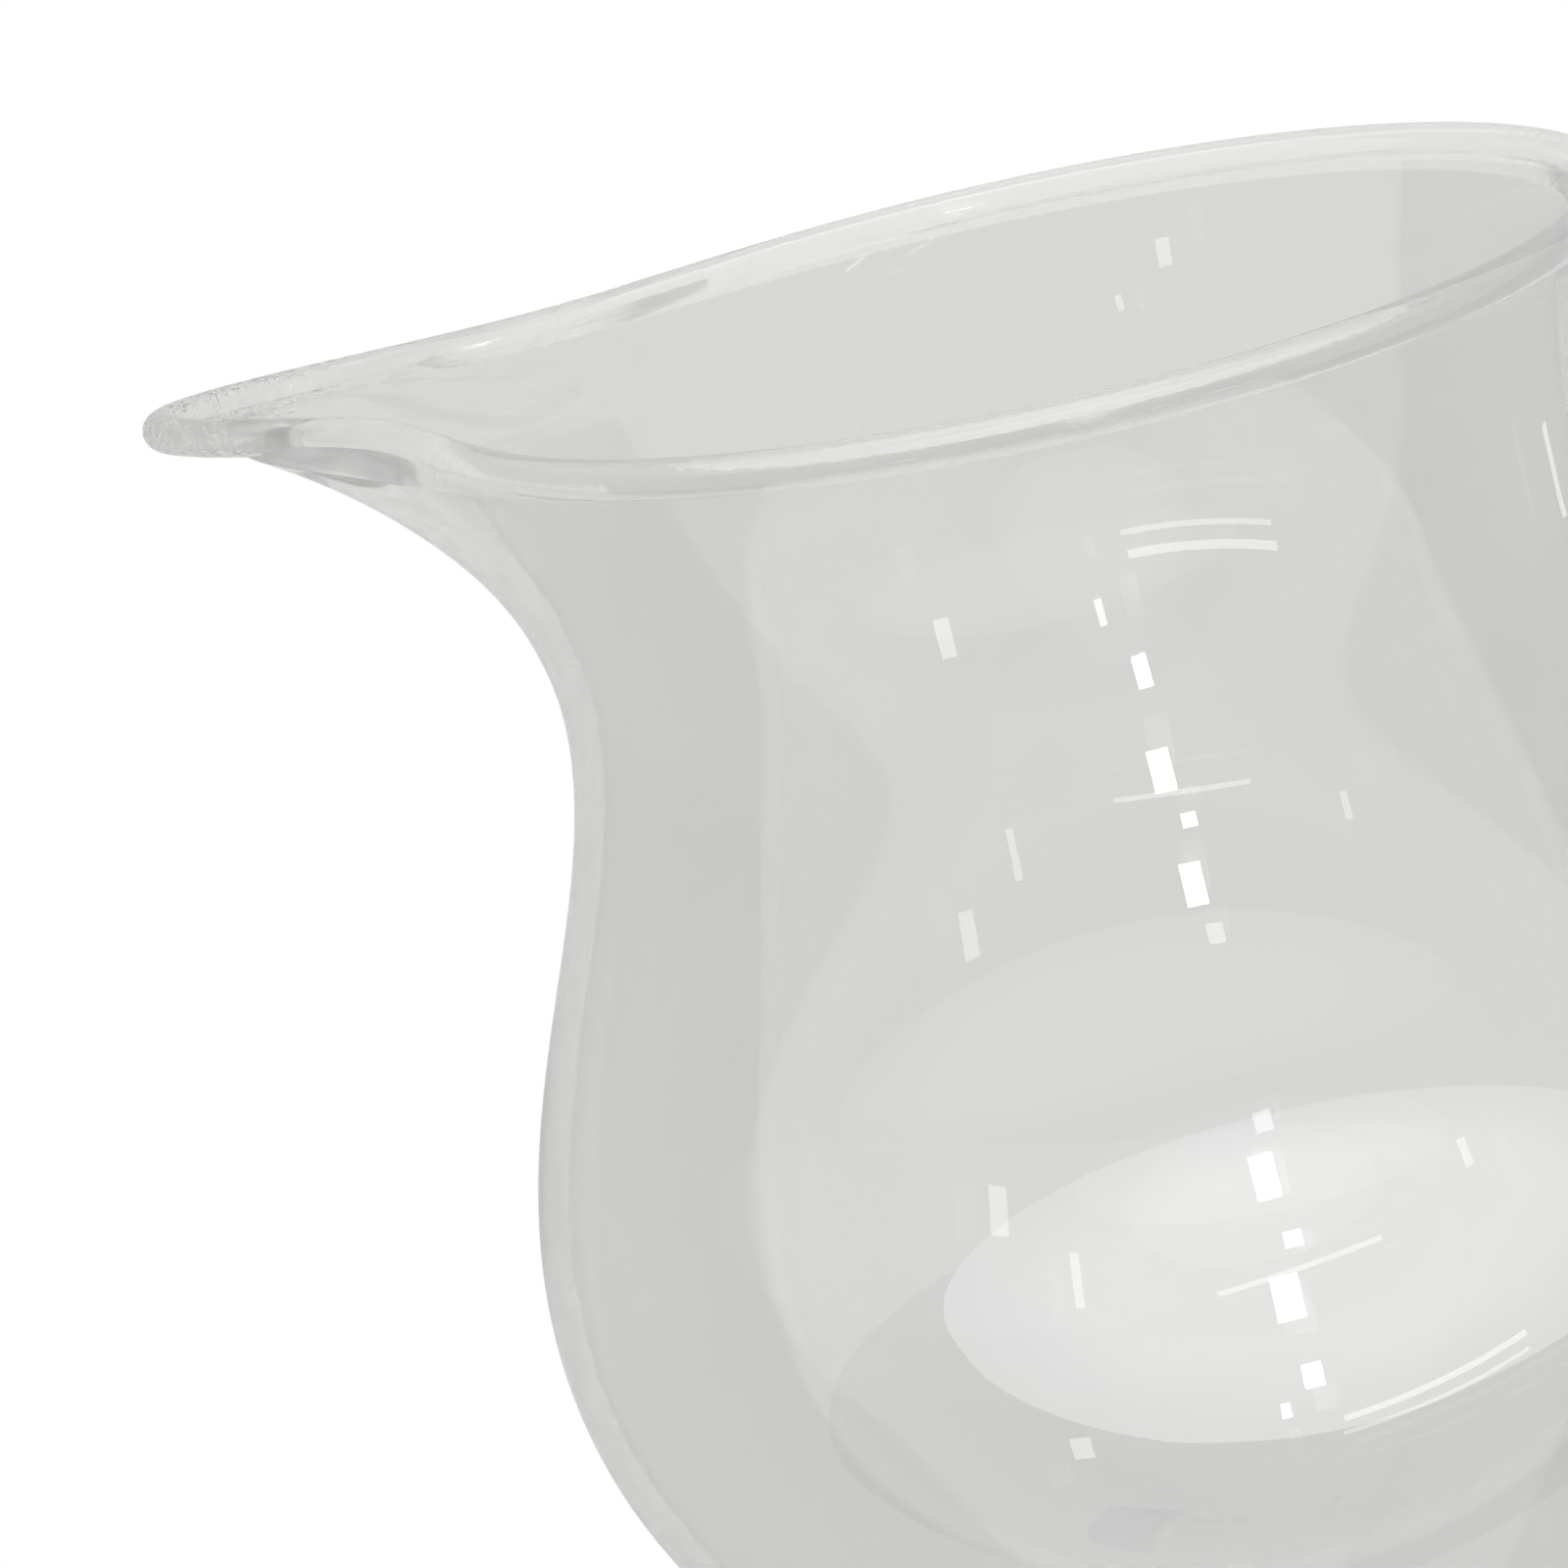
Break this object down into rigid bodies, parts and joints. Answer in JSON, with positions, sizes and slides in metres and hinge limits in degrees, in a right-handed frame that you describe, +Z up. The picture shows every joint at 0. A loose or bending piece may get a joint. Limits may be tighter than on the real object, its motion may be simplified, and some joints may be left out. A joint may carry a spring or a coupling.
{
  "type": "dropping funnel",
  "caption": "Open glass dropping funnel with a long pouring lip, a round bowl, a PTFE stopcock with T-handle and lock nut, and a ground cone with drip tip.",
  "frame": {"origin": "centre of the large end of the ground cone, where the funnel sits in a flask's neck", "axes": "+Z up along the funnel's axis, towards the mouth; the pouring lip points along -X; the stopcock lies along X, with its handle at +X"},
  "size_m": [0.1028, 0.085, 0.2278],
  "materials": {
    "clear_glass": "clear, fire polished, ground on the cone",
    "ptfe": "waxy satin",
    "seal_rubber": "matte",
    "nut_plastic": "moulded satin"
  },
  "bodies": {
    "glass": {"funnel_bowl": "clear_glass", "stopcock_barrel": "clear_glass", "drip_stem": "clear_glass"},
    "key": {"stopcock_key": "ptfe"},
    "washer": {"thrust_washer": "ptfe", "seal_ring": "seal_rubber"},
    "nut": {"lock_nut": "nut_plastic"}
  },
  "joints": [
    {"name": "key_turn", "type": "hinge", "parent": "glass", "child": "key", "pos_m": [0, 0, 0.048], "axis": [1, 0, 0], "continuous": true},
    {"name": "washer_slide", "type": "slide", "parent": "key", "child": "washer", "axis": [-1, 0, 0], "range_m": [0, 0.012]},
    {"name": "nut_turn", "type": "hinge", "parent": "washer", "child": "nut", "pos_m": [0, 0, 0.048], "axis": [-1, 0, 0], "range_deg": [0, 2160]}
  ],
  "couplings": [
    {"joint": "washer_slide", "follows": "nut_turn", "m_per_rad": 0.00031831}
  ]
}
